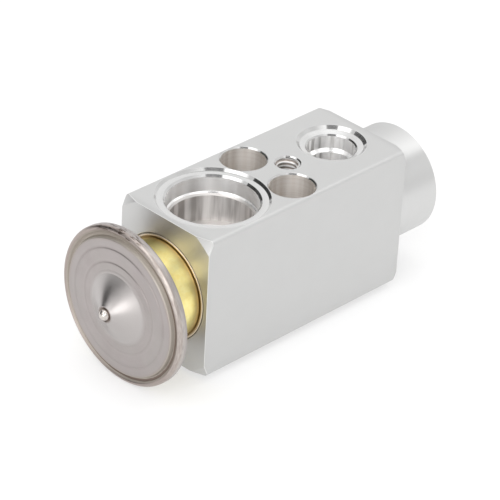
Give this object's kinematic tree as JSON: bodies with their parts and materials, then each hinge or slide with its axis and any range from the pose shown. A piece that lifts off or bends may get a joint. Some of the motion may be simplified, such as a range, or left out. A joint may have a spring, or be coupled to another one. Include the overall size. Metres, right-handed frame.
{
  "type": "expansion valve",
  "caption": "Block-type refrigerant expansion valve with a welded diaphragm head on a threaded collar, stepped pipe ports, clamp stud hole and a spigot with a recessed adjusting screw.",
  "frame": {"origin": "centre of the stud hole's mouth on the port face", "axes": "+X along the valve axis from the power head to the adjuster spigot, +Z out of the port face along the stud hole, +Y across the block"},
  "size_m": [0.1025, 0.0412, 0.0412],
  "materials": {
    "block_aluminium": "satin machined",
    "head_stainless": "dull pressed, heat tinted at the weld",
    "collar_yellow_zinc": "yellow passivated zinc, satin",
    "inner_steel": "ground",
    "inner_brass": "turned",
    "rod_aluminium": "turned",
    "seal_rubber": "matte"
  },
  "bodies": {
    "valve_body": {"valve_block": "block_aluminium", "head_cap": "head_stainless", "charge_plug": "inner_steel", "head_base": "head_stainless", "head_collar": "collar_yellow_zinc", "diaphragm": "inner_steel", "head_seal": "seal_rubber", "rod_seal": "seal_rubber", "rod_seal_retainer": "inner_steel", "valve_seat": "inner_brass", "superheat_spring": "inner_steel"},
    "push_train": {"stop_plate": "inner_brass", "sensing_rod": "rod_aluminium", "push_pin": "inner_steel", "valve_ball": "inner_steel", "ball_carrier": "inner_brass", "damper_spring": "inner_steel"},
    "adjuster_ring": {"adjuster_seal": "seal_rubber"},
    "adjuster": {"adjusting_screw": "inner_brass"}
  },
  "joints": [
    {"name": "valve_lift", "type": "slide", "parent": "valve_body", "child": "push_train", "axis": [1, 0, 0], "range_m": [0, 0.0008], "stiffness_N_per_m": 1000, "springref_m": -0.004, "deforming": ["superheat_spring", "diaphragm"]},
    {"name": "adjuster_advance", "type": "slide", "parent": "valve_body", "child": "adjuster_ring", "axis": [1, 0, 0], "range_m": [-0.00151, 0.00151], "deforming": ["superheat_spring"]},
    {"name": "adjuster_turn", "type": "hinge", "parent": "adjuster_ring", "child": "adjuster", "pos_m": [0.03, 0, -0.019], "axis": [1, 0, 0], "range_deg": [-540, 540]}
  ],
  "couplings": [
    {"joint": "adjuster_advance", "follows": "adjuster_turn", "m_per_rad": 0.00015915}
  ]
}
